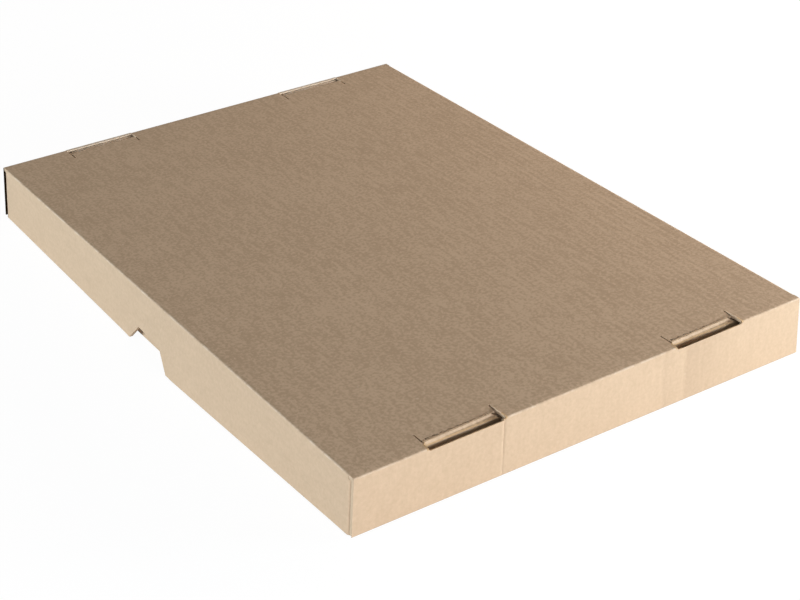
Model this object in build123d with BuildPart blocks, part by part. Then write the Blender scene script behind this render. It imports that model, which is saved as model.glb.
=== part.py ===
"""Flat two-piece shipping carton: a full-depth lid over a base tray.

Each half is one sheet of corrugated board, folded up from a flat blank.  The long walls are
single, and each carries two corner flaps.  The end walls are double: they roll over the corner
flaps and lock with two tabs that stand in slots in the main panel's fold.

Frame: X runs across the short side, Y along the long side, Z up.  The origin is in the middle
of the face that the carton rests on.
"""

import os

from build123d import *

# Corrugated board
BOARD = 1.6  # thickness
PLY_GAP = 0.15  # air left between plies that lie on each other
FOLD_INNER = 0.2  # inside radius of a fold

# Lid, outside sizes
LID_WIDTH = 226.0
LID_LENGTH = 313.0
LID_HEIGHT = 26.4
LID_STANDOFF = 0.6  # lower edge of the lid above the ground
LID_SPLAY = 1.6  # how far the free edges stand out at the corners
LID_NEAR_BOW = 5.8  # free edge of a long wall, at the near end of its notch
LID_FAR_BOW = 3.6  # the same, at the far end of the notch

# Thumb notch in the free edge of each long wall of the lid
NOTCH_MOUTH = 36.5
NOTCH_HEAD = 20.5
NOTCH_DEPTH = 8.8
NOTCH_CORNER = 1.2

# Fit of the tray inside the lid
SIDE_CLEARANCE = 0.5
END_CLEARANCE = 1.0
LID_SEAT_GAP = 0.25  # lid panel above the tray's rim

# Corner flaps
FLAP_LENGTH = 66.0
FLAP_TAPER = 2.5  # how much shorter the flap is along its lower edge

# Locking tabs and their slots
SLOT_WIDTH = 36.0
SLOT_FROM_SIDE = 51.4  # middle of a slot from the long side
SLOT_CLEARANCE = 0.25
SLOT_LIP_DEPTH = 0.4  # cut edge of the end wall below the panel's outer face
TAB_SIDE_CLEARANCE = 1.2
TAB_CORNER = 1.0
LID_TAB_PROUD = 0.9
TRAY_TAB_PROUD = -0.3  # kept back, so that the tray rests on its panel
RELIEF_CUT_REACH = 12.3  # end of the short cuts beside a slot, from the end of the carton
RELIEF_CUT_WIDTH = 0.5

# Rolled inner panel of an end wall
ROLL_SIDE_GAP = 0.6  # from the inside of the long wall

FOLD_OUTER = BOARD + FOLD_INNER
FOLD_MIDDLE = BOARD / 2 + FOLD_INNER
PLY_PITCH = BOARD + PLY_GAP
END_WALL = 2 * PLY_PITCH + BOARD  # outer panel, corner flap and rolled inner panel

TRAY_WIDTH = LID_WIDTH - 2 * (BOARD + SIDE_CLEARANCE)
TRAY_LENGTH = LID_LENGTH - 2 * (END_WALL + END_CLEARANCE)
TRAY_HEIGHT = LID_STANDOFF + LID_HEIGHT - BOARD - LID_SEAT_GAP

MARGIN = 1.0  # how far a cut runs past what it cuts


def folded_half(width, length, height, panel_z, down, splay, near_bow, far_bow, tab_proud):
    """One folded half of the carton.

    panel_z is the height of the main panel's outer face, and down is 1 where the walls hang
    from it and -1 where they stand on it.  Depths are measured from that face into the carton.
    The free edges stand out by splay at the corners, and those of the long walls by near_bow
    and far_bow at the two ends of the thumb notch.  The near end is at -Y.
    """

    def z(depth):
        return panel_z - down * depth

    def out(depth):
        """How far a wall that leans by the splay stands out at the given depth."""
        return splay * depth / height

    side = -width / 2
    end = -length / 2
    wall_end = end + PLY_PITCH + FOLD_OUTER
    fold_end = FOLD_OUTER + PLY_GAP
    roll_side = side + BOARD + ROLL_SIDE_GAP
    slot_middle = side + SLOT_FROM_SIDE
    slot_left = slot_middle - SLOT_WIDTH / 2
    slot_reach = END_WALL + SLOT_CLEARANCE
    tab_half = SLOT_WIDTH / 2 - TAB_SIDE_CLEARANCE

    def leaning(inset):
        """Plane along the end wall, the given distance in from its outer face."""
        return Plane(
            origin=(0, end + inset, panel_z),
            x_dir=(1, 0, 0),
            z_dir=(0, -height, down * splay),
        )

    def fold_section(depth):
        """Upright fold at a corner, cut level."""
        with BuildSketch(Plane.XY.offset(z(depth))) as section:
            with BuildLine():
                CenterArc((side + FOLD_OUTER - out(depth), wall_end - out(depth)), FOLD_MIDDLE, 180, 90)
            trace(line_width=BOARD)
        return section.sketch

    def wall_section(depth, start, finish):
        """Stretch of a long wall, cut level; its ends are (place along Y, distance out)."""
        with BuildSketch(Plane.XY.offset(z(depth))) as section:
            with BuildLine():
                Polyline(
                    (side - start[1], start[0]),
                    (side - start[1] + BOARD, start[0]),
                    (side - finish[1] + BOARD, finish[0]),
                    (side - finish[1], finish[0]),
                    close=True,
                )
            make_face()
        return section.sketch

    with BuildPart() as half:
        # End wall: down the outside, across the rim and back up the inside
        with BuildSketch(Plane.YZ):
            with BuildLine():
                rim = height - BOARD / 2
                FilletPolyline(
                    (wall_end + MARGIN, z(BOARD / 2)),
                    (end + BOARD / 2 - out(BOARD / 2), z(BOARD / 2)),
                    (end + BOARD / 2 - out(rim), z(rim)),
                    (end + END_WALL - BOARD / 2 - out(rim), z(rim)),
                    (end + END_WALL - BOARD / 2 - out(fold_end), z(fold_end)),
                    radius=FOLD_MIDDLE,
                )
            trace(line_width=BOARD)
        extrude(amount=side - MARGIN)

        # Its upper corners are cut off level with the round of the long folds
        with BuildSketch(Plane.XZ) as outline:
            with Locations((0, z(height))):
                Rectangle(width, 2 * height)
            chamfer(outline.vertices(), FOLD_OUTER * (2 - 2**0.5))
        extrude(amount=length, both=True, mode=Mode.INTERSECT)

        # The rolled part is narrower, to fit between the long walls
        with BuildSketch(Plane.YZ.offset(side - MARGIN)):
            with BuildLine():
                Polyline(
                    (end + BOARD - out(FOLD_OUTER), z(FOLD_OUTER)),
                    (end + 2 * END_WALL, z(FOLD_OUTER)),
                    (end + 2 * END_WALL, z(height + MARGIN)),
                    (end + BOARD - out(height + MARGIN), z(height + MARGIN)),
                    close=True,
                )
            make_face()
        extrude(amount=roll_side - side + MARGIN, mode=Mode.SUBTRACT)

        # Upright fold at the corner, and its flap between the plies of the end wall
        loft([fold_section(BOARD), fold_section(height)], ruled=True)
        with BuildSketch(leaning(PLY_PITCH)):
            with BuildLine():
                flap_foot = height - PLY_PITCH - PLY_GAP
                Polyline(
                    (side + FOLD_OUTER - out(fold_end), -down * fold_end),
                    (side + FLAP_LENGTH, -down * fold_end),
                    (side + FLAP_LENGTH - FLAP_TAPER, -down * flap_foot),
                    (side + FOLD_OUTER - out(flap_foot), -down * flap_foot),
                    close=True,
                )
            make_face()
        extrude(amount=-BOARD)

        # Main panel with the fold into the long wall
        with BuildSketch(Plane.XZ):
            with BuildLine():
                FilletPolyline(
                    (0, z(BOARD / 2)),
                    (side + BOARD / 2 - out(BOARD / 2), z(BOARD / 2)),
                    (side + BOARD / 2 - out(fold_end), z(fold_end)),
                    radius=FOLD_MIDDLE,
                )
            trace(line_width=BOARD)
        extrude(amount=-wall_end)

        # Slot through the fold, with its lower lip in the end wall
        for start, depth in ((-MARGIN, SLOT_LIP_DEPTH), (BOARD, FOLD_OUTER)):
            with BuildSketch(Plane.XY.offset(z(-MARGIN))):
                with Locations((slot_left, end + start)):
                    Rectangle(SLOT_WIDTH, slot_reach - start, align=Align.MIN)
            extrude(amount=-down * (depth + MARGIN), mode=Mode.SUBTRACT)

        # Short relief cuts into the panel beside the slot
        with BuildSketch(Plane.XY.offset(z(-MARGIN))):
            for cut_left in (slot_left, slot_left + SLOT_WIDTH - RELIEF_CUT_WIDTH):
                with Locations((cut_left, end + slot_reach)):
                    Rectangle(RELIEF_CUT_WIDTH, RELIEF_CUT_REACH - slot_reach, align=Align.MIN)
        extrude(amount=-down * (BOARD + 2 * MARGIN), mode=Mode.SUBTRACT)

        # Locking tab on the rolled inner panel
        with BuildSketch(leaning(END_WALL - BOARD)):
            with BuildLine():
                tab_foot = -down * (fold_end + MARGIN)
                Polyline(
                    (slot_middle - tab_half, tab_foot),
                    (slot_middle - tab_half, down * (tab_proud - TAB_CORNER)),
                    (slot_middle - tab_half + TAB_CORNER, down * tab_proud),
                    (slot_middle + tab_half - TAB_CORNER, down * tab_proud),
                    (slot_middle + tab_half, down * (tab_proud - TAB_CORNER)),
                    (slot_middle + tab_half, tab_foot),
                    close=True,
                )
            make_face()
        extrude(amount=-BOARD)
        mirror(about=Plane.XZ)

        # Long wall in three stretches, because its free edge bends at the notch
        corner = -wall_end
        notch = NOTCH_MOUTH / 2
        fold_out = out(FOLD_OUTER)
        fold_line = [(y, fold_out) for y in (-corner - fold_out, -notch, notch, corner + fold_out)]
        free_edge = [
            (-corner - splay, splay),
            (-notch, near_bow),
            (notch, far_bow),
            (corner + splay, splay),
        ]
        for i in range(len(free_edge) - 1):
            wall_top = wall_section(FOLD_OUTER, *fold_line[i : i + 2])
            wall_foot = wall_section(height, *free_edge[i : i + 2])
            loft([wall_top, wall_foot], ruled=True)

        mirror(about=Plane.YZ)
    return half


def notch_outline(edge_z):
    """Sketch of the thumb notch, with its mouth at the free edge."""
    with BuildSketch(Plane.YZ) as notch:
        with BuildLine():
            slope = (NOTCH_MOUTH - NOTCH_HEAD) / 2 / NOTCH_DEPTH
            FilletPolyline(
                (-NOTCH_MOUTH / 2 - slope * MARGIN, edge_z - MARGIN),
                (-NOTCH_HEAD / 2, edge_z + NOTCH_DEPTH),
                (NOTCH_HEAD / 2, edge_z + NOTCH_DEPTH),
                (NOTCH_MOUTH / 2 + slope * MARGIN, edge_z - MARGIN),
                radius=NOTCH_CORNER,
                close=False,
            )
            Line(
                (NOTCH_MOUTH / 2 + slope * MARGIN, edge_z - MARGIN),
                (-NOTCH_MOUTH / 2 - slope * MARGIN, edge_z - MARGIN),
            )
        make_face()
    return notch.sketch


# Base tray, open side up
base_tray = folded_half(
    width=TRAY_WIDTH,
    length=TRAY_LENGTH,
    height=TRAY_HEIGHT,
    panel_z=0,
    down=-1,
    splay=0,
    near_bow=0,
    far_bow=0,
    tab_proud=TRAY_TAB_PROUD,
)
base_tray.part.label = "base_tray"

# Lid, open side down, with a thumb notch in each long wall
with BuildPart() as lid:
    add(
        folded_half(
            width=LID_WIDTH,
            length=LID_LENGTH,
            height=LID_HEIGHT,
            panel_z=LID_STANDOFF + LID_HEIGHT,
            down=1,
            splay=LID_SPLAY,
            near_bow=LID_NEAR_BOW,
            far_bow=LID_FAR_BOW,
            tab_proud=LID_TAB_PROUD,
        ).part
    )
    extrude(notch_outline(LID_STANDOFF), amount=LID_WIDTH, both=True, mode=Mode.SUBTRACT)
lid.part.label = "lid"

os.makedirs("parts", exist_ok=True)
export_step(base_tray.part, "parts/base_tray.step")
export_step(lid.part, "parts/lid.step")
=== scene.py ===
"""Looks of a flat two-piece shipping carton, built round its packed model.

Each half is folded from one sheet of corrugated board, and the board is modelled as it is made:
an outer liner, an inner liner and a fluted medium between them.  A half starts as its middle
surface, which is folded ply by ply.  The liners and the medium are then thickened copies of it.
"""

import math

import bmesh
import bpy
from bpy.props import FloatProperty, FloatVectorProperty, PointerProperty
from mathutils import Matrix, Vector


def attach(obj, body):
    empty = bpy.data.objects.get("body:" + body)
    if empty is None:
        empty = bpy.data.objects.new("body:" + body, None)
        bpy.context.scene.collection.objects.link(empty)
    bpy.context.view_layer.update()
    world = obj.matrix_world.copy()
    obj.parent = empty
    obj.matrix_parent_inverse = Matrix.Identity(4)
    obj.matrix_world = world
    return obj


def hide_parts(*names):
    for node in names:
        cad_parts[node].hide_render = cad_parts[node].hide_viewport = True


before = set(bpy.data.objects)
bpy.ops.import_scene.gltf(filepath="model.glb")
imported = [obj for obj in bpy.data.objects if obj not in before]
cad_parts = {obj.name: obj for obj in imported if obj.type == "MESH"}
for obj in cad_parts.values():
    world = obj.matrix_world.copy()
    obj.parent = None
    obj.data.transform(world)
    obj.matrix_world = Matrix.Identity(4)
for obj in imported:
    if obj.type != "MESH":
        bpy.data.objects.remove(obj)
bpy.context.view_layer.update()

bl_info = {
    "name": "Flat shipping carton",
    "version": (1, 0, 0),
    "blender": (4, 5, 0),
    "location": "View3D > Sidebar > Carton",
    "description": "Builds a telescoping carton of corrugated board round its packed model",
    "category": "Add Mesh",
}

MM = 0.001
NEAR = 0.02 * MM  # places nearer than this are the same
FOLD_STEPS = 5  # flats round a fold
FLUTE_STEPS = 8  # flats along one flute
CORNER_STEPS = 4  # flats round a corner of a thumb notch
SMOOTH_UNDER = 35  # degrees between faces, up to which their edge is shaded smooth
TEAR = 0.88  # how much of a flute's pitch a torn edge takes to run out before it steps back
WHITE = (1.0, 1.0, 1.0, 1.0)
COLOURS = ("Light", "Dark", "Fleck", "Fibre", "Worn")

# Lamps: place, target, size and tint
LAMPS = {
    "key": ((0.85, -0.70, 0.15), (0.0, -0.15, 0.0), (0.5, 0.2), (0.90, 1.0, 1.07)),
    "front": ((-0.35, -1.10, 0.15), (0.0, -0.15, 0.0), (0.5, 0.2), (0.96, 0.94, 1.0)),
    "fill": ((-1.30, 0.30, 0.15), (-0.1, 0.0, 0.0), (0.5, 0.2), (0.87, 0.98, 1.08)),
    "side": ((0.80, -0.05, 0.22), (0.05, 0.0, 0.0), (0.4, 0.3), (1.0, 0.78, 0.64)),
}
CAMERA_PLACE = (-0.38659, -0.58814, 0.40146)
CAMERA_FACING = (0.48605, 0.71264, -0.50586)
CAMERA_UP = (0.29066, 0.41406, 0.86259)
FLOOR_TONE = (0.8, 0.8, 0.8, 1.0)  # for light that falls on the carton
FLOOR_SEEN = (0.08, 0.08, 0.08, 1.0)  # for the camera, over the floor's own glow
FLOOR_GLOW = 0.955


def length(name, description, millimetres):
    """A property that holds a length."""
    return FloatProperty(
        name=name,
        description=description,
        default=millimetres * MM,
        min=-1.0,
        soft_max=1.0,
        subtype="DISTANCE",
        unit="LENGTH",
        precision=5,
    )


def colour(name, description, value):
    """A property that holds a colour, in linear values."""
    return FloatVectorProperty(
        name=name,
        description=description,
        default=value,
        min=0.0,
        max=1.0,
        size=3,
        subtype="COLOR",
    )


def number(name, description, value, unit="NONE"):
    """A property that holds a power, a focal length or a plain number."""
    return FloatProperty(name=name, description=description, default=value, min=0.0, unit=unit)


class CartonBoard(bpy.types.PropertyGroup):
    """Corrugated board"""

    thickness: length("Thickness", "Outside of one liner to outside of the other", 1.6)
    liner: length("Liner", "Thickness of a liner with the glued crest of the flutes", 0.3)
    medium: length("Medium", "Thickness of the fluted medium", 0.2)
    pitch: length("Flute pitch", "Distance from one flute to the next", 3.5)
    ply_gap: length("Ply gap", "Air between plies that lie on each other", 0.15)
    crease: length("Crease radius", "Radius of the medium in a crushed crease", 0.6)
    crease_outer: length("Outer crease", "Radius of the outer liner in a crushed crease", 0.5)
    crease_inner: length("Inner crease", "Radius of the inner liner in a crushed crease", 0.2)
    upright: length("Upright fold radius", "Radius at the middle of the board, corner flaps", 0.9)
    closed: length("Closed side", "Width along which a cut side is crushed or open", 2.4)
    pressed: length("Pressed edge", "Width along which a notch's edge is pressed flat", 1.5)
    washboard: length("Washboard", "Height of the ridges that the flutes leave in a liner", 0.008)
    cell: length("Bending step", "Distance between the lines along which the board can bend", 12.2)


class CartonFolds(bpy.types.PropertyGroup):
    """Flaps, tabs and slots of both halves"""

    flap: length("Flap length", "Corner flap, from the outside of the long wall", 66.0)
    taper: length("Flap taper", "How much shorter a flap is along its lower edge", 2.5)
    roll_gap: length("Roll gap", "Rolled inner panel to the inside of a long wall", 0.6)
    slot_place: length("Slot place", "Middle of a slot, from the long side", 51.4)
    slot_width: length("Slot width", "Length of a slot along the fold", 36.0)
    slot_gap: length("Slot gap", "Panel's cut edge behind a tab", 0.25)
    slot_worn: length("Worn slot", "How much further back the panel ends at a used tab", 1.05)
    lip: length("Slot lip", "Top of the end wall in a slot, below the panel", 0.6)
    lip_worn: length("Worn lip", "How much lower the end wall ends in a used slot", 0.5)
    lip_step: length("Crushed lip", "How much lower the inner liner ends in a slot", 0.9)
    relief_reach: length("Relief cut reach", "End of the relief cuts, from the carton's end", 10.8)
    relief_width: length("Relief cut width", "Width of the short cuts beside a slot", 0.7)
    crushed: length("Crushed rim", "Width along which the board round a slot is pressed flat", 0.8)
    tab_gap: length("Tab gap", "Tab to the end of its slot", 1.2)
    tab_corner: length("Tab corner", "Cut corner of a tab", 1.0)
    tab_skew: length("Tab skew", "How far a used tab is turned, from end to end", 1.0)
    tab_slide: length("Tab slide", "How far a used tab has slid to the left in its slot", 1.1)
    tab_back: length("Tab bend", "How far the top of a used tab is bent back", 1.3)
    torn: length("Torn edge", "Depth of the steps in the panel's torn edge at a used tab", 0.7)
    rim_up: length("Raised rim", "Height of the panel's rim, at the right of a used slot", 0.22)
    edge_down: length("Slot edge", "How deep the torn edge is pressed in, at its right end", 0.5)
    flap_slope: length("Flap slope", "How much lower the top of a flap is at its tip", 6.0)
    far_low: length("Low far tab", "Depth of the far tabs' tops below the panel", 0.7)
    far_lean: length("Leaning far tab", "How far a far tab leans to the end wall", 1.5)
    crease_left: length("Left crease", "Place of a crease across the near end wall", -44.3)
    crease_right: length("Right crease", "Place of a crease across the near end wall", 49.2)
    crease_soft: length("Soft crease", "Place of a faint crease across the near end wall", 37.0)
    crease_width: length("Crease width", "Width of a crease in the end wall", 3.4)
    crease_depth: length("Crease depth", "Depth of a crease in the end wall", 0.26)


class CartonLid(bpy.types.PropertyGroup):
    """Lid, outside sizes"""

    width: length("Width", "Short side of the lid", 226.0)
    length: length("Length", "Long side of the lid", 313.0)
    height: length("Height", "Panel to free edge", 26.4)
    standoff: length("Standoff", "Free edge above the ground", 0.6)
    splay: length("Splay", "How far the free edges stand out at the corners", 1.46)
    near_bow: length("Near bow", "Long wall's free edge at the near end of the notch", 5.8)
    far_bow: length("Far bow", "Long wall's free edge at the far end of the notch", 3.6)
    left_in: length("Left corner in", "Near left corner's foot, drawn in along the carton", 1.6)
    right_in: length("Right corner in", "Near right corner's foot, drawn in across it", 1.1)
    right_drop: length("Right corner drop", "Near right corner's foot, lower than the others", 0.5)
    tab_proud: length("Tab height", "Tab above the panel, below it if negative", -0.1)
    notch_mouth: length("Notch mouth", "Thumb notch at the free edge", 36.5)
    notch_head: length("Notch head", "Thumb notch at its head", 20.5)
    notch_depth: length("Notch depth", "Thumb notch, free edge to head", 8.8)
    notch_corner: length("Notch corner", "Rounding of the thumb notch", 1.2)


class CartonTray(bpy.types.PropertyGroup):
    """Base tray, outside sizes"""

    width: length("Width", "Short side of the tray", 221.8)
    length: length("Length", "Long side of the tray", 300.8)
    height: length("Height", "Panel to free edge", 25.15)
    tab_proud: length("Tab height", "Tab above the panel, below it if negative", -0.3)
    swell: length("Swell", "How far the long sides stand out in the middle, at the panel", 0.45)


class CartonFinish(bpy.types.PropertyGroup):
    """Colours of the board"""

    liner: colour("Liner", "Outside of the board", (0.61, 0.45, 0.30))
    liner_dark: colour("Liner, dark", "Dark grain of the liner", (0.50, 0.36, 0.232))
    fleck: colour("Fleck", "Dark fibres in the liner", (0.26, 0.18, 0.11))
    fibre: colour("Fibre", "Light fibres in the liner", (0.70, 0.57, 0.42))
    worn: colour("Worn fold", "Liner rubbed light along a fold", (0.66, 0.52, 0.37))
    cut: colour("Cut edge", "Raw cut edge of a liner", (0.60, 0.45, 0.30))
    used: colour("Used tab", "Liner of a tab that has been rubbed brown", (0.56, 0.375, 0.20))
    torn: colour("Torn edge", "Pale fibres at a torn edge", (0.80, 0.70, 0.57))
    medium: colour("Medium", "Fluted paper between the liners", (0.46, 0.32, 0.19))
    # Painted shade: a near-black paper put on the outer liner at the sides of the far end wall and
    # on the upright folds by them, for the shade in the open flutes and the gap there.
    painted_shade: colour("Hollow", "Inside of an open flute, without light", (0.03, 0.017, 0.006))


class CartonStage(bpy.types.PropertyGroup):
    """Camera, light and floor"""

    focal: number("Focal length", "Focal length of the camera", 78.56, "CAMERA")
    key: number("Key light", "Power of the key light", 12.5, "POWER")
    front: number("Front light", "Power of the front light", 6.0, "POWER")
    side: number("Side light", "Power of the side light", 5.5, "POWER")
    fill: number("Fill light", "Power of the fill light", 14.0, "POWER")
    sky: number("Sky", "Brightness of the surroundings", 0.17)


# Tools for edit mode


def leave_edit():
    """Go to object mode, with nothing selected."""
    if bpy.context.mode != "OBJECT":
        bpy.ops.object.mode_set(mode="OBJECT")
    bpy.ops.object.select_all(action="DESELECT")


def take(piece):
    """Select one object only, and make it the active one."""
    leave_edit()
    bpy.context.view_layer.objects.active = piece
    piece.select_set(True)


def enter_edit(piece):
    """Go to edit mode with one object."""
    take(piece)
    bpy.ops.object.mode_set(mode="EDIT")


def choose(kind, test):
    """Select the vertices, edges or faces that pass the test, and nothing else."""
    bpy.ops.mesh.select_mode(type=kind)
    bpy.ops.mesh.select_all(action="DESELECT")
    mesh = bpy.context.edit_object.data
    bm = bmesh.from_edit_mesh(mesh)
    items = {"VERT": bm.verts, "EDGE": bm.edges, "FACE": bm.faces}[kind]
    found = [item for item in items if test(item)]
    for item in found:
        item.select_set(True)
    bm.select_flush_mode()
    bmesh.update_edit_mesh(mesh)
    return len(found)


def pick(kind, test):
    """Select the vertices, edges or faces whose middle passes the test, and nothing else."""
    middle = {
        "VERT": lambda v: v.co,
        "EDGE": lambda e: (e.verts[0].co + e.verts[1].co) / 2,
        "FACE": lambda f: f.calc_center_bounds(),
    }[kind]
    return choose(kind, lambda item: test(middle(item)))


def need(kind, test, what):
    """Pick, and stop where nothing is found."""
    if not pick(kind, test):
        raise RuntimeError("nothing found to pick for the " + what)


def move(test, what, **by):
    """Move the vertices that pass the test, and stop where there are none."""
    need("VERT", test, what)
    shift(**by)


def cut_picked(axis, place):
    """Cut what is picked across an axis."""
    normal = Vector([float(axis == name) for name in "XYZ"])
    bpy.ops.mesh.bisect(plane_co=normal * place, plane_no=normal)


def cut(axis, place, test=lambda middle: True):
    """Cut the faces that pass the test across an axis."""
    if pick("FACE", test):
        cut_picked(axis, place)


def drop(test):
    """Delete the faces that pass the test."""
    if pick("FACE", test):
        bpy.ops.mesh.delete(type="FACE")


def curl(centre, axis, degrees):
    """Roll the picked edges round an axis.  A spin turns the other way when there is no window."""
    bpy.ops.mesh.spin(
        steps=FOLD_STEPS,
        angle=-math.radians(degrees),
        center=centre,
        axis=[float(axis == name) for name in "XYZ"],
    )


def extrude(x=0.0, y=0.0, z=0.0):
    """Draw new faces out of the picked edges."""
    bpy.ops.mesh.extrude_edges_move(TRANSFORM_OT_translate={"value": (x, y, z)})


def shift(x=0.0, y=0.0, z=0.0):
    """Move what is picked."""
    bpy.ops.transform.translate(value=(x, y, z))


def apply_all(piece):
    """Apply a piece's modifiers."""
    take(piece)
    for modifier in list(piece.modifiers):
        bpy.ops.object.modifier_apply(modifier=modifier.name)
    piece.select_set(False)


def copy_of(piece, name):
    """A copy of a piece with a mesh of its own."""
    take(piece)
    bpy.ops.object.duplicate(linked=False)
    made = bpy.context.object
    made.name = name
    return made


def thicken(piece, thickness, *materials):
    """Give a sheet its thickness, half to each side.  A second material goes to its rim."""
    piece.data.materials.clear()
    for material in materials:
        piece.data.materials.append(material)
    solid = piece.modifiers.new("Paper", "SOLIDIFY")
    solid.thickness = thickness
    solid.offset = 0.0
    solid.use_even_offset = True
    solid.use_quality_normals = True
    solid.material_offset_rim = len(materials) - 1
    apply_all(piece)


# The folded sheet


class Sheet:
    """Places on a half's middle surface or on a liner, with the outside of the panel at height 0.

    The level is how far the surface lies from the middle of the board, towards its outer side.
    """

    def __init__(self, half, level, radius):
        board, folds = bpy.context.scene.carton_board, bpy.context.scene.carton_folds
        self.board, self.folds, self.half = board, folds, half
        thickness = board.thickness
        pitch = thickness + board.ply_gap
        self.level, self.level_out = level, (thickness - board.liner) / 2
        self.radius = radius
        self.upright = board.upright + level
        self.side = (half.width - thickness) / 2 + level
        self.end = (half.length - thickness) / 2 + level
        self.flap = half.length / 2 - pitch - thickness / 2 + level
        self.wall_end = self.flap - self.upright
        self.top = level - thickness / 2
        self.fold_z = self.top - radius
        self.foot = -half.height
        self.rim_z = self.foot + thickness / 2 - level + radius
        self.inner = (half.length - thickness) / 2 - 2 * pitch - level
        self.inner_top = -thickness - 2 * board.ply_gap
        self.tab_base = -thickness
        self.flap_top = -pitch
        self.flap_foot = self.foot + pitch + board.ply_gap
        self.shoulder = half.width / 2 - board.ply_gap
        self.slot = half.width / 2 - folds.slot_place
        self.slot_half = folds.slot_width / 2
        self.tab_half = self.slot_half - folds.tab_gap
        self.slot_end = half.length / 2 - 2 * pitch - thickness - folds.slot_gap
        self.relief_end = half.length / 2 - folds.relief_reach
        crushed = folds.lip_step * (self.level_out - level) / (2 * self.level_out)
        self.lip_z = -folds.lip - crushed

    def on_panel(self, middle):
        """Whether a place is on the level part of the panel."""
        return abs(middle.z - self.top) < NEAR

    def by_notch(self, middle):
        """Whether a place on a long wall is pressed flat beside a thumb notch."""
        if not hasattr(self.half, "notch_mouth"):
            return False
        reach = self.half.notch_mouth / 2 + self.board.pressed
        high = self.foot + self.half.notch_depth + self.board.pressed
        return abs(abs(middle.x) - self.side) < NEAR and abs(middle.y) < reach and middle.z < high

    def open_side(self, middle):
        """Whether a place lies at a side of the far end wall, where the last flute is open."""
        beside = abs(middle.x) > self.shoulder - self.board.closed
        return beside and abs(middle.y - self.end) < self.radius and middle.z < self.top - NEAR

    def by_slot(self, middle):
        """Whether a place on the panel or a tab is pressed flat by the cutting of a slot."""
        rim = self.folds.crushed
        if not self.in_slot(middle.x, self.slot_half + rim) or middle.z < self.tab_base:
            return False
        return abs(middle.y) > self.relief_end - rim

    def is_torn(self, middle):
        """Whether a place is on a lip or a tab at the far end, which have torn, pale edges."""
        return self.by_slot(middle) and self.in_slot(middle.x) and middle.y > self.slot_end

    def in_slot(self, x, reach=0.0):
        """Whether a place along X lies within a slot's width, or within the given half width."""
        return abs(abs(x) - self.slot) < (reach or self.slot_half)


def fold_panel(name, s):
    """The panel and both end walls: down, across the rim and up again inside."""
    leave_edit()
    bpy.ops.mesh.primitive_plane_add(size=1.0, location=(0.0, 0.0, s.top))
    sheet = bpy.context.object
    sheet.name = name
    radius = s.radius
    sheet.scale = (2 * (s.side - radius), 2 * (s.end - radius), 1.0)
    bpy.ops.object.transform_apply(location=True, rotation=False, scale=True)
    enter_edit(sheet)
    for sign in (-1, 1):
        cut("Y", sign * s.wall_end)
    for sign in (-1, 1):
        need(
            "EDGE",
            lambda m: abs(m.x - sign * (s.side - radius)) < NEAR and abs(m.y) > s.wall_end,
            "shoulders",
        )
        extrude(x=sign * (s.shoulder - s.side + radius))
    for sign in (-1, 1):
        need("EDGE", lambda m: abs(m.y - sign * (s.end - radius)) < NEAR, "end fold")
        curl((0, sign * (s.end - radius), s.fold_z), "X", -90 * sign)
        extrude(z=s.rim_z - s.fold_z)
        curl((0, sign * (s.end - radius), s.rim_z), "X", -90 * sign)
        extrude(y=sign * (s.inner - s.end + 2 * radius))
        curl((0, sign * (s.inner + radius), s.rim_z), "X", -90 * sign)
        extrude(z=s.inner_top - s.rim_z)
    for sign in (-1, 1):
        cut("X", sign * (s.shoulder - s.board.closed), lambda m: abs(m.y) > s.wall_end)
    return sheet


def cut_slots(s):
    """Slots, relief cuts and tabs at both ends."""
    folds = s.folds
    corner = s.tab_half - folds.tab_corner
    relief = s.slot_half - folds.relief_width
    for sign in (-1, 1):
        for reach in (s.slot_half + folds.crushed, s.slot_half, relief, s.tab_half, corner):
            cut("X", sign * (s.slot - reach))
            cut("X", sign * (s.slot + reach))
        for place in (s.slot_end, s.relief_end, s.relief_end - folds.crushed):
            cut("Y", sign * place, s.on_panel)
    drop(lambda m: s.in_slot(m.x) and abs(m.y) > s.slot_end and m.z > s.fold_z)
    drop(
        lambda m: s.in_slot(m.x)
        and not s.in_slot(m.x, relief)
        and s.on_panel(m)
        and abs(m.y) > s.relief_end
    )
    need(
        "EDGE",
        lambda m: s.in_slot(m.x) and abs(abs(m.y) - s.end) < NEAR and abs(m.z - s.fold_z) < NEAR,
        "slot lips",
    )
    extrude(z=s.lip_z - s.fold_z)
    need(
        "EDGE",
        lambda m: s.in_slot(m.x, s.tab_half)
        and abs(abs(m.y) - s.inner) < NEAR
        and abs(m.z - s.inner_top) < NEAR,
        "tabs",
    )
    extrude(z=s.tab_base - s.inner_top)
    extrude(z=s.half.tab_proud - folds.tab_corner - s.tab_base)
    extrude(z=folds.tab_corner)
    move(
        lambda v: abs(v.z - s.half.tab_proud) < NEAR
        and abs(abs(abs(v.x) - s.slot) - s.tab_half) < NEAR,
        "tab corners",
        z=-0.6 * folds.tab_corner,
    )


def narrow_rolls(s):
    """The rolled inner panels end short of the long walls."""
    roll = s.half.width / 2 - s.board.thickness - s.folds.roll_gap
    for sign in (-1, 1):
        cut("X", sign * roll)
    drop(
        lambda m: abs(m.x) > roll
        and abs(m.y) < s.end - s.radius / 2
        and m.z < s.fold_z
    )


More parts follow.
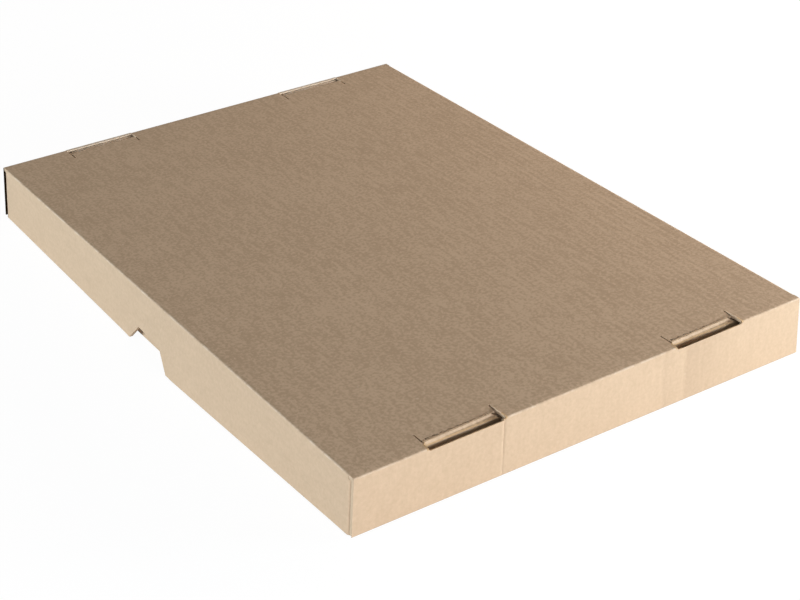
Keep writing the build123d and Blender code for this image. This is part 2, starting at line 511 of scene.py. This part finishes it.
def fold_walls(s):
    """Long walls, and the corner flaps that turn in from their ends."""
    radius = s.radius
    for sign in (-1, 1):
        need(
            "EDGE",
            lambda m: abs(m.x - sign * (s.side - radius)) < NEAR
            and abs(m.y) < s.wall_end
            and s.on_panel(m),
            "long fold",
        )
        curl((sign * (s.side - radius), 0, s.fold_z), "Y", 90 * sign)
        extrude(z=s.foot - s.fold_z)
    for place in (s.flap_top, s.flap_foot):
        cut("Z", place, lambda m: abs(m.x) > s.side - NEAR and abs(m.y) < s.wall_end)
    reach = s.folds.flap - s.upright + s.side - s.half.width / 2
    for along in (-1, 1):
        for across in (-1, 1):
            need(
                "EDGE",
                lambda m: abs(m.x - across * s.side) < NEAR
                and abs(m.y - along * s.wall_end) < NEAR
                and m.z < s.flap_top,
                "upright fold",
            )
            middle = (across * (s.side - s.upright), along * s.wall_end, 0)
            curl(middle, "Z", 90 * across * along)
            need(
                "EDGE",
                lambda m: abs(m.x - middle[0]) < NEAR
                and abs(m.y - along * s.flap) < NEAR
                and m.z > s.flap_foot,
                "flap",
            )
            extrude(x=-across * reach)
    tip = s.half.width / 2 - s.folds.flap
    for sign in (-1, 1):
        move(
            lambda v: abs(v.x - sign * tip) < NEAR and abs(v.z - s.flap_foot) < NEAR,
            "feet of the flap tips",
            x=sign * s.folds.taper,
        )
        move(
            lambda v: abs(v.x - sign * tip) < NEAR and v.z > s.flap_top - NEAR,
            "tops of the flap tips",
            z=-s.folds.flap_slope,
        )


def cut_notches(s):
    """Thumb notches in the long walls: a rounded trapezoid, open at the free edge."""
    lid = s.half
    head = s.foot + lid.notch_depth
    slant = (lid.notch_mouth - lid.notch_head) / 2
    slope = math.atan2(slant, lid.notch_depth)
    centre_z = head - lid.notch_corner
    centre_y = lid.notch_head / 2 - lid.notch_corner * math.tan(math.pi / 4 - slope / 2)
    turn_all = math.pi / 2 - slope
    turns = [math.pi / 2 - turn_all * i / CORNER_STEPS for i in range(CORNER_STEPS + 1)]
    sides = []
    for turn in turns:
        for sign in (-1, 1):
            normal = Vector((0, sign * math.cos(turn), math.sin(turn)))
            centre = Vector((0, sign * centre_y, centre_z))
            sides.append((centre + normal * lid.notch_corner, normal))

    def on_wall(m):
        return abs(abs(m.x) - s.side) < NEAR

    def near(m):
        return on_wall(m) and abs(m.y) < lid.notch_mouth / 2 + 2 * MM

    for sign in (-1, 1):
        cut("Y", sign * (lid.notch_mouth / 2 + s.board.pressed), on_wall)
    cut("Z", head + s.board.pressed, near)
    for place, normal in sides:
        need("FACE", lambda m: near(m) and m.z < head + MM, "thumb notch")
        bpy.ops.mesh.bisect(plane_co=place, plane_no=normal)
    drop(lambda m: near(m) and all((m - place).dot(normal) < 0 for place, normal in sides))


def face_up(sheet):
    """Turn the faces so that the panel's outer side looks up."""
    enter_edit(sheet)
    bpy.ops.mesh.select_all(action="SELECT")
    bpy.ops.mesh.normals_make_consistent(inside=False)
    leave_edit()
    panel = max(sheet.data.polygons, key=lambda f: f.area)
    if panel.normal.z < 0:
        enter_edit(sheet)
        bpy.ops.mesh.select_all(action="SELECT")
        bpy.ops.mesh.flip_normals()
        leave_edit()


def flute(piece, s, axis, upward):
    """Corrugate a flat-plied sheet.  The wave runs along an axis, and upward tells which way each
    place moves.  Places at one height of the wave move together, so it has small steps."""
    enter_edit(piece)
    step = s.board.pitch / FLUTE_STEPS
    way = "XYZ".index(axis)
    bm = bmesh.from_edit_mesh(piece.data)
    places = [v.co[way] for v in bm.verts]
    for i in range(math.floor(min(places) / step) + 1, math.ceil(max(places) / step)):
        bpy.ops.mesh.select_all(action="SELECT")
        cut_picked(axis, i * step)
    height = (s.board.thickness - 2 * s.board.liner - s.board.medium) / 2

    def wave(co):
        return round(height * math.cos(2 * math.pi * co[way] / s.board.pitch) / NEAR)

    bm = bmesh.from_edit_mesh(piece.data)
    rest = {v.index: (wave(v.co), upward(v.co)) for v in bm.verts}
    for level in sorted(set(rest.values())):
        choose("VERT", lambda v: rest[v.index] == level)
        shift(*(Vector(level[1]) * level[0] * NEAR))
    leave_edit()


def drop_plies(s, *kinds):
    """Delete the faces of these kinds of the middle surface: fold, side, panel, end or long."""

    def kind(face):
        middle, facing = face.calc_center_bounds(), face.normal
        flat = max(abs(facing.x), abs(facing.y), abs(facing.z)) > 0.999
        if s.open_side(middle):
            return "side"
        rim = abs(facing.z) > 0.5 and not s.on_panel(middle)
        if not flat or rim or s.by_slot(middle):
            return "fold"
        if abs(facing.x) > 0.5 or abs(abs(middle.y) - s.flap) < NEAR:
            return "fold" if s.by_notch(middle) else "long"
        if abs(middle.y) > s.wall_end and abs(middle.x) > s.shoulder - s.board.closed:
            return "fold"
        return "end" if abs(facing.y) > 0.5 else "panel"

    bmesh.from_edit_mesh(bpy.context.edit_object.data).normal_update()
    choose("FACE", lambda face: kind(face) in kinds)
    bpy.ops.mesh.delete(type="FACE")


def close_far_slots(s):
    """The far tabs stand low and lean to the end wall, whose lips reach up to the panel."""
    folds = s.folds
    move(
        lambda v: v.z > s.tab_base + NEAR and abs(v.y - s.inner) < NEAR,
        "far tabs",
        y=folds.far_lean / 3,
        z=-folds.far_low - s.half.tab_proud,
    )
    corner = -folds.far_low - folds.tab_corner
    move(
        lambda v: v.z > corner and abs(v.y - s.inner - folds.far_lean / 3) < NEAR,
        "tops of the far tabs",
        y=2 * folds.far_lean / 3,
    )
    move(
        lambda v: abs(v.y - s.end) < NEAR and abs(v.z - s.lip_z) < NEAR,
        "far lips",
        z=-s.lip_z,
    )


def columns(test):
    """Places along X of the vertices that pass the test."""
    bm = bmesh.from_edit_mesh(bpy.context.edit_object.data)
    return sorted({round(v.co.x / NEAR) * NEAR for v in bm.verts if test(v.co)})


def at(x, place):
    """Whether a column stands at a place along X, which columns() has rounded."""
    return abs(x - place) < 0.8 * NEAR


def wear_near_slots(s):
    """The near slots have been used.  The lips are crushed, the panel's rim stands up at the
    right, its edge is torn back in steps and pressed in, and the tabs lean back askew."""
    folds, pitch = s.folds, s.board.pitch
    move(
        lambda v: abs(v.y + s.end) < NEAR
        and v.z > s.fold_z - NEAR
        and s.in_slot(v.x, s.slot_half - NEAR),
        "near lips",
        z=-folds.lip_worn,
    )
    for centre in (-s.slot, s.slot):
        right = centre + s.slot_half
        move(
            lambda v: s.on_panel(v) and abs(v.x - right) < NEAR and v.y < -s.relief_end - NEAR,
            "slot rim",
            z=folds.rim_up,
        )

        def here(v):
            return abs(v.x - centre) < s.slot_half - NEAR

        def edge(v):
            return here(v) and abs(v.y + s.slot_end) < NEAR and s.on_panel(v)

        def tab(v):
            return here(v) and v.z > s.tab_base + NEAR and abs(v.y + s.inner) < NEAR

        for x in columns(edge):
            part = x / pitch % 1
            step = part / TEAR if part < TEAR else (1 - part) / (1 - TEAR)
            back = folds.slot_worn - folds.torn * (step - 0.5)
            press = max(0.0, (x - centre) / s.slot_half) ** 2
            move(lambda v: edge(v) and at(v.x, x), "slot edge", y=back, z=-folds.edge_down * press)
        for x in columns(tab):
            askew = folds.tab_skew * (0.1 + (x - centre) / (2 * s.slot_half))
            move(
                lambda v: tab(v) and at(v.x, x),
                "used tab",
                x=-folds.tab_slide,
                y=folds.tab_back / 2 + askew,
            )
            slid = x - folds.tab_slide
            if pick(
                "VERT",
                lambda v: at(v.x, slid)
                and abs(v.y + s.inner) < 2 * MM
                and abs(v.z - s.half.tab_proud) < NEAR,
            ):
                shift(y=folds.tab_back / 2)


def cut_torn_edge(s):
    """Cut the panel's near end so that its edge can be torn, with a long and a short run for each
    flute."""
    flutes = math.ceil(s.side / s.board.pitch)
    for i in range(-flutes, flutes):
        for place in (i, i + TEAR):
            cut("X", place * s.board.pitch, lambda m: s.on_panel(m) and m.y < -s.relief_end)


def crease_wall(s):
    """Upright creases in the near end wall, by the free ends of the corner flaps.  Each one has a
    wide slope on its left and a steep one on its right."""
    folds = s.folds

    def wall(m):
        return abs(m.y + s.end) < NEAR and s.rim_z < m.z < s.fold_z

    for place, depth in (
        (folds.crease_left, folds.crease_depth),
        (folds.crease_right, folds.crease_depth),
        (folds.crease_soft, folds.crease_depth / 2),
    ):
        for share in (-1 / 2, 0, 1 / 6):
            cut("X", place + share * folds.crease_width, wall)
        move(
            lambda v: abs(v.y + s.end) < NEAR and abs(v.x - place) < NEAR,
            "crease",
            y=depth,
        )


def mark_board(sheet, s):
    """Note where each face lies on the flat board, across and along the flutes, and the folds."""
    mesh = sheet.data
    flat = mesh.uv_layers.new(name="board")
    worn = mesh.attributes.new("worn", "FLOAT", "FACE")
    for face in mesh.polygons:
        middle, facing = face.center, face.normal
        fold = middle.z > s.fold_z and 0.05 < abs(facing.z) < 0.99
        worn.data[face.index].value = float(fold and not s.by_slot(middle))
        for corner in face.loop_indices:
            x, y, z = mesh.vertices[mesh.loops[corner].vertex_index].co
            if abs(abs(middle.y) - s.flap) < NEAR:
                place = (z, x)
            elif abs(facing.x) > 0.01 and abs(facing.y) < 0.3:
                place = (x - math.copysign(z, x), y)
            else:
                place = (x, y - math.copysign(z, y))
            flat.data[corner].uv = place


def fold_sheet(name, half, notched, level, radius):
    """Fold one surface of a half, and cut it so that all the papers bend along the same lines."""
    s = Sheet(half, level, radius)
    sheet = fold_panel(name, s)
    cut_slots(s)
    narrow_rolls(s)
    fold_walls(s)
    if notched:
        cut_notches(s)
    steps = int(half.length / 2 / s.board.cell)
    for i in range(-steps, steps + 1):
        cut("Y", i * s.board.cell, lambda m: abs(m.x) > s.side - s.radius)
    if notched:
        crease_wall(s)
        cut_torn_edge(s)
        close_far_slots(s)
        wear_near_slots(s)
    face_up(sheet)
    mark_board(sheet, s)
    return sheet, s


def repaint(piece, paper_there, test):
    """Give the faces of a piece that pass the test another paper."""
    piece.data.materials.append(paper_there)
    enter_edit(piece)
    if pick("FACE", test):
        piece.active_material_index = len(piece.data.materials) - 1
        bpy.ops.object.material_slot_assign()
    leave_edit()


def paint_shade_at_open_sides(liner, s, shade_paper):
    """Paint shade on the outer liner at the sides of the far end wall, where the last flute is
    open, and in the gap by them: a near-black paper stands in for the shade there.
    """
    outside = s.end + s.board.liner / 2 - NEAR
    side = s.shoulder - s.board.closed
    gap = s.wall_end + NEAR
    repaint(
        liner,
        shade_paper,
        lambda m: abs(m.x) > side and gap < m.y < outside and m.z < s.top - NEAR,
    )


def layers(name, half, notched, papers):
    """Make the board's papers: the fluted medium, its crushed creases and the two liners."""
    board = bpy.context.scene.carton_board
    middle, s = fold_sheet(name + "_middle", half, notched, 0.0, board.crease)
    pieces = []

    def upward_across(co):
        return (0, 0, 1) if s.on_panel(co) else (0, 1, 0)

    def upward_along(co):
        return (1, 0, 0) if abs(abs(co.x) - s.side) < NEAR else (0, 1, 0)

    for way, axis, upward, dropped in (
        ("across", "X", upward_across, ("fold", "side", "long")),
        ("along", "Z", upward_along, ("fold", "side", "panel", "end")),
    ):
        medium = copy_of(middle, name + "_medium_" + way)
        enter_edit(medium)
        drop_plies(s, *dropped)
        flute(medium, s, axis, upward)
        thicken(medium, board.medium, papers["medium"])
        pieces.append(medium)

    core = copy_of(middle, name + "_crushed")
    enter_edit(core)
    drop_plies(s, "side", "panel", "end", "long")
    leave_edit()
    thicken(core, board.thickness - 2 * board.liner, papers["medium"], papers["cut"])
    if notched:
        repaint(core, papers["torn"], s.is_torn)
    pieces.append(core)

    take(middle)
    bpy.ops.object.delete()

    outer = fold_sheet(name + "_liner_outer", half, notched, s.level_out, board.crease_outer)
    inner = fold_sheet(name + "_liner_inner", half, notched, -s.level_out, board.crease_inner)
    for liner, place in (outer, inner):
        if place.level < 0:
            enter_edit(liner)
            drop(place.open_side)
        thicken(liner, board.liner, papers["liner"], papers["cut"])
        if place.level > 0:
            # painted shade: near-black paper on the outer liner at the open sides of the far end
            # wall
            paint_shade_at_open_sides(liner, place, papers["painted_shade"])
        if notched:
            near_slot = -place.slot_end - MM
            repaint(liner, papers["used"], lambda m: place.by_slot(m) and m.y < near_slot)
            repaint(liner, papers["torn"], place.is_torn)
        pieces.append(liner)
    return pieces, s


def join(pieces, name):
    """Make one piece of a half's papers, shaded smooth over its small bends."""
    take(pieces[0])
    for piece in pieces:
        piece.select_set(True)
    bpy.ops.object.join()
    made = bpy.context.object
    made.name = name
    made.data.name = name
    bpy.ops.object.shade_smooth_by_angle(angle=math.radians(SMOOTH_UNDER))
    leave_edit()
    return made


def lid_lean(s, across, y, high):
    """How far a corner of the lid's cage moves.  The walls splay, and the long ones bow."""
    lid = s.half
    notch = lid.notch_mouth / 2
    if high:
        return Vector((0.0, 0.0, 0.0))
    bow = lid.near_bow if y < 0 else lid.far_bow
    if abs(y) < notch:
        bow = lid.far_bow + (lid.near_bow - lid.far_bow) * (notch - y) / (2 * notch)
    share = min(1.0, max(0.0, (s.wall_end - abs(y)) / (s.wall_end - notch)))
    near = 1.0 - share if y < 0 else 0.0
    out = lid.splay + (bow - lid.splay) * share
    along = 2 * y / lid.length * lid.splay
    if across < 0:
        return Vector((-out, along + lid.left_in * near, 0.0))
    return Vector((out - lid.right_in * near, along, -lid.right_drop * near))


def tray_lean(s, across, y, high):
    """How far a corner of the tray's cage moves.  Its long sides swell at the panel."""
    share = max(0.0, 1.0 - abs(2 * y / s.half.length)) if high else 0.0
    return Vector((across * s.half.swell * share, 0.0, 0.0))


def lean(pieces, s, reach):
    """Bend the papers of a half in a cage, whose points move as far as reach tells."""
    leave_edit()
    bpy.ops.object.add(type="LATTICE", location=(0, 0, s.foot / 2))
    cage = bpy.context.object
    grid = cage.data
    stations = 2 * math.ceil(s.half.length / 2 / s.board.cell) + 1
    cage.scale = (s.half.width, (stations - 1) * s.board.cell, s.half.height)
    grid.points_u, grid.points_v, grid.points_w = 2, stations, 2
    for way in "uvw":
        setattr(grid, "interpolation_type_" + way, "KEY_LINEAR")
    for point in grid.points:
        across = 1 if point.co.x > 0 else -1
        moved = reach(s, across, point.co.y * cage.scale.y, point.co.z > 0)
        point.co_deform = point.co + Vector([a / b for a, b in zip(moved, cage.scale)])
    for piece in pieces:
        bend = piece.modifiers.new("Lean", "LATTICE")
        bend.object = cage
        apply_all(piece)
    take(cage)
    bpy.ops.object.delete()


# Materials


class Nodes:
    """Adds nodes to a tree, and joins them up."""

    def __init__(self, tree):
        self.tree = tree

    def give(self, socket, value):
        """Feed a socket from another one, or set it."""
        if isinstance(value, bpy.types.NodeSocket):
            self.tree.links.new(value, socket)
        else:
            socket.default_value = value

    def add(self, kind, inputs=None, **settings):
        """A new node, with its inputs fed and its settings made."""
        made = self.tree.nodes.new("ShaderNode" + kind)
        for name, value in settings.items():
            setattr(made, name, value)
        for name, value in (inputs or {}).items():
            self.give(made.inputs[name], value)
        return made

    def noise(self, place, scale, detail=2.0, rough=0.6, stretch=(1.0, 1.0, 1.0)):
        """Noise over a place, squeezed along an axis where its stretch is above 1."""
        mapping = self.add("Mapping", {"Vector": place, "Scale": stretch})
        made = self.add(
            "TexNoise",
            {"Vector": mapping.outputs[0], "Scale": scale, "Detail": detail, "Roughness": rough},
        )
        return made.outputs[0]

    def step(self, value, low, high, start=0.0, end=1.0):
        """A smooth step of a value, from the low edge to the high one."""
        inputs = {"Value": value, "From Min": low, "From Max": high}
        inputs.update({"To Min": start, "To Max": end})
        return self.add("MapRange", inputs, interpolation_type="SMOOTHSTEP").outputs[0]

    def blend(self, share, first, second):
        """A colour between two others."""
        made = self.add("Mix", data_type="RGBA")
        for index, value in ((0, share), (6, first), (7, second)):
            self.give(made.inputs[index], value)
        return made.outputs[2]

    def maths(self, operation, *values):
        """The result of one operation on some values."""
        made = self.add("Math", operation=operation)
        for index, value in enumerate(values):
            self.give(made.inputs[index], value)
        return made.outputs[0]

    def mixture(self, *parts):
        """The sum of noises, each times its weight, which is about 0 where all are middling."""
        total = -sum(weight for noise, weight in parts) / 2
        for noise, weight in parts:
            total = self.maths("MULTIPLY_ADD", noise, weight, total)
        return total


def opaque(value):
    """A colour with its alpha."""
    return (value[0], value[1], value[2], 1.0)


def paper_group():
    """Grain, fibres, specks and the washboard that all the papers share.

    The level panel shows them in full, and the upright walls show much less of them.
    """
    name = "Kraft paper"
    if name in bpy.data.node_groups:
        return bpy.data.node_groups[name]
    board = bpy.context.scene.carton_board
    tree = bpy.data.node_groups.new(name, "ShaderNodeTree")
    for label in COLOURS:
        tree.interface.new_socket(label, in_out="INPUT", socket_type="NodeSocketColor")
    tree.interface.new_socket("Color", in_out="OUTPUT", socket_type="NodeSocketColor")
    tree.interface.new_socket("Height", in_out="OUTPUT", socket_type="NodeSocketFloat")
    nodes = Nodes(tree)
    given = tree.nodes.new("NodeGroupInput").outputs
    texture = nodes.add("TexCoord").outputs
    place = texture["Object"]
    flat = nodes.add("UVMap", uv_map="board").outputs[0]

    facing = nodes.add("SeparateXYZ", {"Vector": texture["Normal"]}).outputs[2]
    level = nodes.step(nodes.maths("ABSOLUTE", facing), 0.3, 0.9)
    rough = nodes.step(level, 0.0, 1.0, 0.22, 1.0)

    cloud = nodes.noise(place, 30.0, 3.0)
    grain = nodes.noise(place, 700.0)
    streak = nodes.noise(flat, 800.0, stretch=(1.0, 0.045, 1.0))
    blotch = nodes.noise(flat, 230.0, stretch=(1.5, 0.4, 1.0))
    tone = nodes.mixture((cloud, 0.6), (grain, 2.4), (streak, 0.6), (blotch, 1.3))
    tone = nodes.step(nodes.maths("MULTIPLY", tone, rough), -0.35, 0.35)
    base = nodes.blend(tone, given["Dark"], given["Light"])

    pulp = nodes.noise(place, 620.0, 4.0, 0.8)
    fleck = nodes.maths("MULTIPLY", nodes.step(pulp, 0.64, 0.82, 0.0, 0.6), rough)
    base = nodes.blend(fleck, base, given["Fleck"])
    along = nodes.noise(place, 520.0, stretch=(0.5, 1.8, 1.0))
    cross = nodes.noise(place, 520.0, stretch=(1.8, 0.5, 1.0))
    thread = nodes.maths("MAXIMUM", along, cross)
    fibre = nodes.maths("MULTIPLY", nodes.step(thread, 0.68, 0.8, 0.0, 0.8), rough)
    base = nodes.blend(fibre, base, given["Fibre"])
    fold = nodes.add("Attribute", attribute_name="worn").outputs["Fac"]
    scuff = nodes.step(nodes.noise(place, 140.0, 4.0, 0.75), 0.42, 0.66)
    base = nodes.blend(nodes.maths("MULTIPLY", fold, scuff), base, given["Worn"])

    across = nodes.add("SeparateXYZ", {"Vector": flat}).outputs[0]
    wave = nodes.maths("COSINE", nodes.maths("MULTIPLY", across, 2 * math.pi / board.pitch))
    patch = nodes.step(nodes.noise(flat, 60.0, 3.0, stretch=(1.0, 0.3, 1.0)), 0.3, 0.7, 0.35, 1.3)
    pressed = nodes.step(across, -0.06, 0.11, 0.5, 2.0)
    ridges = nodes.maths("MULTIPLY", nodes.maths("MULTIPLY_ADD", wave, patch, streak), pressed)
    height = nodes.maths("MULTIPLY_ADD", grain, 1.8, ridges)
    height = nodes.maths("MULTIPLY", nodes.maths("MULTIPLY", height, rough), board.washboard)
    out = tree.nodes.new("NodeGroupOutput")
    tree.links.new(base, out.inputs["Color"])
    tree.links.new(height, out.inputs["Height"])
    return tree


def paper(name, colours, rough, shine=0.3):
    """A material of paper.  The colours are the light, dark, fleck, fibre and worn ones."""
    if name in bpy.data.materials:
        return bpy.data.materials[name]
    made = bpy.data.materials.new(name)
    made.use_nodes = True
    nodes = Nodes(made.node_tree)
    shader = made.node_tree.nodes["Principled BSDF"]
    group = nodes.add("Group", node_tree=paper_group())
    for label, value in zip(COLOURS, colours):
        group.inputs[label].default_value = opaque(value)
    relief = nodes.add("Bump", {"Height": group.outputs["Height"], "Distance": 1.0})
    nodes.give(shader.inputs["Base Color"], group.outputs["Color"])
    nodes.give(shader.inputs["Normal"], relief.outputs["Normal"])
    shader.inputs["Roughness"].default_value = rough
    shader.inputs["Specular IOR Level"].default_value = shine
    return made


def papers():
    """The board's papers, by their use."""
    f = bpy.context.scene.carton_finish
    cut_dark = [0.8 * c for c in f.cut]
    used_dark = [0.85 * c for c in f.used]
    shade = [0.7 * c for c in f.medium]
    return {
        "liner": paper("kraft_liner", (f.liner, f.liner_dark, f.fleck, f.fibre, f.worn), 0.75),
        "cut": paper("kraft_cut", (f.cut, cut_dark, f.fleck, f.cut, f.cut), 0.85),
        "used": paper("kraft_used", (f.used, used_dark, f.fleck, f.used, f.used), 0.85),
        "torn": paper("kraft_torn", (f.torn, f.worn, f.worn, f.torn, f.torn), 0.9),
        "medium": paper("kraft_medium", (f.medium, shade, shade, f.medium, f.medium), 0.85),
        # painted shade, near black, for the open flutes and the gap at the far end wall's sides
        "painted_shade": paper("kraft_hollow", [f.painted_shade] * len(COLOURS), 1.0, 0.0),
    }


# Operators


def build_half(name, half, notched):
    """Fold one half, with its panel up and its outside at height 0."""
    pieces, s = layers(name, half, notched, papers())
    lean(pieces, s, lid_lean if notched else tray_lean)
    return join(pieces, name)


def settle(piece):
    """Put a piece's place and turn into its mesh."""
    take(piece)
    bpy.ops.object.transform_apply(location=True, rotation=True, scale=True)
    leave_edit()


class CARTON_OT_tray(bpy.types.Operator):
    """Fold the base tray, with its panel on the ground"""

    bl_idname = "carton.tray"
    bl_label = "Base tray"

    def execute(self, context):
        piece = build_half("tray_sheet", context.scene.carton_tray, False)
        piece.rotation_euler = (0.0, math.pi, 0.0)
        settle(piece)
        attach(piece, "base")
        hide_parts("base_tray")
        return {"FINISHED"}


class CARTON_OT_lid(bpy.types.Operator):
    """Fold the lid, with thumb notches in its long walls"""

    bl_idname = "carton.lid"
    bl_label = "Lid"

    def execute(self, context):
        lid = context.scene.carton_lid
        piece = build_half("lid_sheet", lid, True)
        piece.location = (0.0, 0.0, lid.standoff + lid.height)
        settle(piece)
        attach(piece, "cover")
        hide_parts("lid")
        return {"FINISHED"}


def area_light(name, power):
    """One of the lamps."""
    place, target, size, tint = LAMPS[name]
    leave_edit()
    bpy.ops.object.light_add(type="AREA", location=place)
    lamp = bpy.context.object
    lamp.name = name
    lamp.rotation_euler = (Vector(target) - Vector(place)).to_track_quat("-Z", "Y").to_euler()
    lamp.data.shape = "RECTANGLE"
    lamp.data.size, lamp.data.size_y = size
    lamp.data.energy = power
    lamp.data.color = tint


def seen(nodes):
    """1 where the camera sees a surface, straight or in glass or metal."""
    path = nodes.add("LightPath").outputs
    straight = nodes.maths("MAXIMUM", path["Is Camera Ray"], path["Is Glossy Ray"])
    return nodes.maths("MAXIMUM", straight, path["Is Transmission Ray"])


def lay_floor():
    """A white floor that keeps the carton's shadow."""
    leave_edit()
    bpy.ops.mesh.primitive_plane_add(size=6.0)
    floor = bpy.context.object
    floor.name = "floor"
    made = bpy.data.materials.new("floor_white")
    made.use_nodes = True
    nodes = Nodes(made.node_tree)
    shader = made.node_tree.nodes["Principled BSDF"]
    view = seen(nodes)
    nodes.give(shader.inputs["Base Color"], nodes.blend(view, FLOOR_TONE, FLOOR_SEEN))
    nodes.give(shader.inputs["Emission Strength"], nodes.maths("MULTIPLY", view, FLOOR_GLOW))
    shader.inputs["Emission Color"].default_value = WHITE
    shader.inputs["Roughness"].default_value = 1.0
    shader.inputs["Specular IOR Level"].default_value = 0.0
    floor.data.materials.append(made)


def surround(scene, sky):
    """Dim surroundings, which the camera sees as white."""
    world = bpy.data.worlds.new("studio")
    world.use_nodes = True
    scene.world = world
    nodes = Nodes(world.node_tree)
    back = world.node_tree.nodes["Background"]
    back.inputs["Color"].default_value = WHITE
    share = nodes.add("MapRange", {"Value": seen(nodes), "To Min": sky, "To Max": 1.0})
    nodes.give(back.inputs["Strength"], share.outputs[0])


def set_camera(scene, focal):
    """The camera, as it stood for the photo."""
    facing = Vector(CAMERA_FACING).normalized()
    right = facing.cross(Vector(CAMERA_UP).normalized())
    bpy.ops.object.camera_add()
    camera = bpy.context.object
    camera.name = "camera"
    turn = Matrix((right, right.cross(facing), -facing)).transposed()
    camera.matrix_world = Matrix.Translation(CAMERA_PLACE) @ turn.to_4x4()
    camera.data.lens = focal
    camera.data.sensor_width = 36.0
    camera.data.clip_start = 0.01
    scene.camera = camera


class CARTON_OT_stage(bpy.types.Operator):
    """Set up the floor, the lights and the camera"""

    bl_idname = "carton.stage"
    bl_label = "Stage"

    def execute(self, context):
        stage = context.scene.carton_stage
        lay_floor()
        surround(context.scene, stage.sky)
        for name in LAMPS:
            area_light(name, getattr(stage, name))
        set_camera(context.scene, stage.focal)
        context.scene.view_settings.view_transform = "Standard"
        return {"FINISHED"}


GROUPS = {
    "carton_board": CartonBoard,
    "carton_folds": CartonFolds,
    "carton_lid": CartonLid,
    "carton_tray": CartonTray,
    "carton_finish": CartonFinish,
    "carton_stage": CartonStage,
}
OPERATORS = (CARTON_OT_tray, CARTON_OT_lid, CARTON_OT_stage)


class CARTON_PT_panel(bpy.types.Panel):
    """Steps that build the carton, and its sizes and colours"""

    bl_idname = "CARTON_PT_panel"
    bl_label = "Carton"
    bl_space_type = "VIEW_3D"
    bl_region_type = "UI"
    bl_category = "Carton"

    def draw(self, context):
        for step in OPERATORS:
            self.layout.operator(step.bl_idname)
        for name, group in GROUPS.items():
            box = self.layout.box()
            box.label(text=group.__doc__)
            for field in group.__annotations__:
                box.prop(getattr(context.scene, name), field)


def register():
    for name, group in GROUPS.items():
        bpy.utils.register_class(group)
        setattr(bpy.types.Scene, name, PointerProperty(type=group))
    for kind in OPERATORS + (CARTON_PT_panel,):
        bpy.utils.register_class(kind)


def unregister():
    for kind in reversed(OPERATORS + (CARTON_PT_panel,)):
        bpy.utils.unregister_class(kind)
    for name, group in reversed(GROUPS.items()):
        delattr(bpy.types.Scene, name)
        bpy.utils.unregister_class(group)


def main():
    register()
    bpy.ops.carton.tray()
    bpy.ops.carton.lid()
    bpy.ops.carton.stage()


if __name__ == "__main__":
    main()
